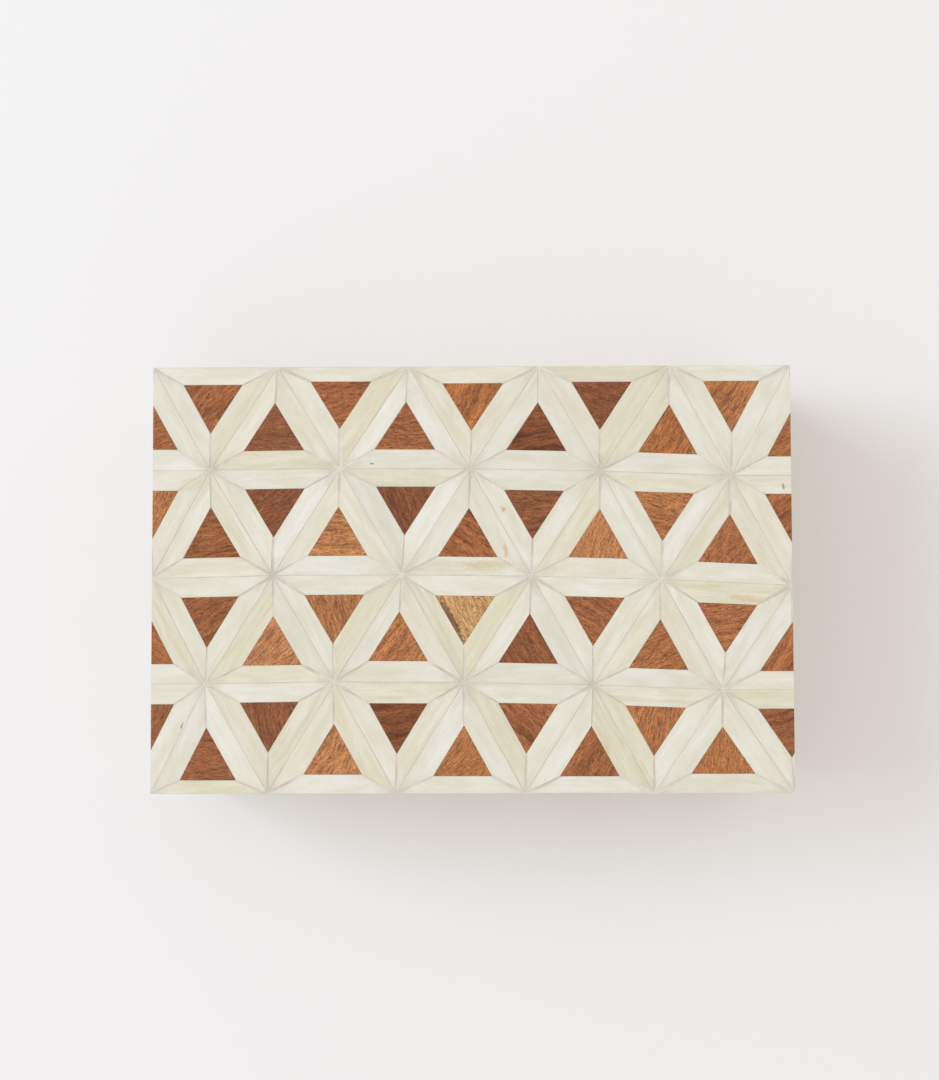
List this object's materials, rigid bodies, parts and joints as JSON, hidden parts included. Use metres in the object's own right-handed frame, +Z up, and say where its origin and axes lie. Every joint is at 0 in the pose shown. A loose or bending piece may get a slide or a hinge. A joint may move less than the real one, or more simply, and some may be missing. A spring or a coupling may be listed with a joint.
{
  "type": "inlaid wooden box",
  "caption": "Low rectangular keepsake box: a wooden carcass covered in bone strips and wooden triangles, with a lid hinged at the back on brass stop hinges.",
  "frame": {"origin": "centre of the box's footprint, on the underside of the felt that it stands on", "axes": "+X to the right along the longest side, +Y towards the hinges at the back, +Z up"},
  "size_m": [0.2286, 0.1551, 0.0635],
  "materials": {
    "bone": "satin",
    "inlay_wood": "satin",
    "filler": "matte",
    "carcass_wood": "satin",
    "felt": "matte",
    "brass": "satin"
  },
  "bodies": {
    "base": {"base_front_wall": "carcass_wood", "base_back_wall": "carcass_wood", "base_left_wall": "carcass_wood", "base_right_wall": "carcass_wood", "base_bottom_board": "carcass_wood", "base_felt": "felt", "base_lining": "felt", "base_front_filler": "filler", "base_front_bone": "bone", "base_front_wood": "inlay_wood", "base_back_filler": "filler", "base_back_bone": "bone", "base_back_wood": "inlay_wood", "base_left_filler": "filler", "base_left_bone": "bone", "base_left_wood": "inlay_wood", "base_right_filler": "filler", "base_right_bone": "bone", "base_right_wood": "inlay_wood", "left_hinge_base_leaf": "brass", "right_hinge_base_leaf": "brass", "left_hinge_pin": "brass", "right_hinge_pin": "brass", "base_hinge_screws": "brass"},
    "lid": {"lid_board": "carcass_wood", "lid_front_rail": "carcass_wood", "lid_back_rail": "carcass_wood", "lid_left_rail": "carcass_wood", "lid_right_rail": "carcass_wood", "lid_top_filler": "filler", "lid_top_bone_row_1": "bone", "lid_top_bone_row_2": "bone", "lid_top_bone_row_3": "bone", "lid_top_bone_row_4": "bone", "lid_top_wood_row_1": "inlay_wood", "lid_top_wood_row_2": "inlay_wood", "lid_top_wood_row_3": "inlay_wood", "lid_top_wood_row_4": "inlay_wood", "lid_front_filler": "filler", "lid_front_bone": "bone", "lid_back_filler": "filler", "lid_back_bone": "bone", "lid_left_filler": "filler", "lid_left_bone": "bone", "lid_right_filler": "filler", "lid_right_bone": "bone", "left_hinge_lid_leaf": "brass", "right_hinge_lid_leaf": "brass", "lid_hinge_screws": "brass"}
  },
  "joints": [
    {"name": "lid_hinge", "type": "hinge", "parent": "base", "child": "lid", "pos_m": [0, 0.0771, 0.04535], "axis": [-1, 0, 0], "range_deg": [0, 100]}
  ]
}
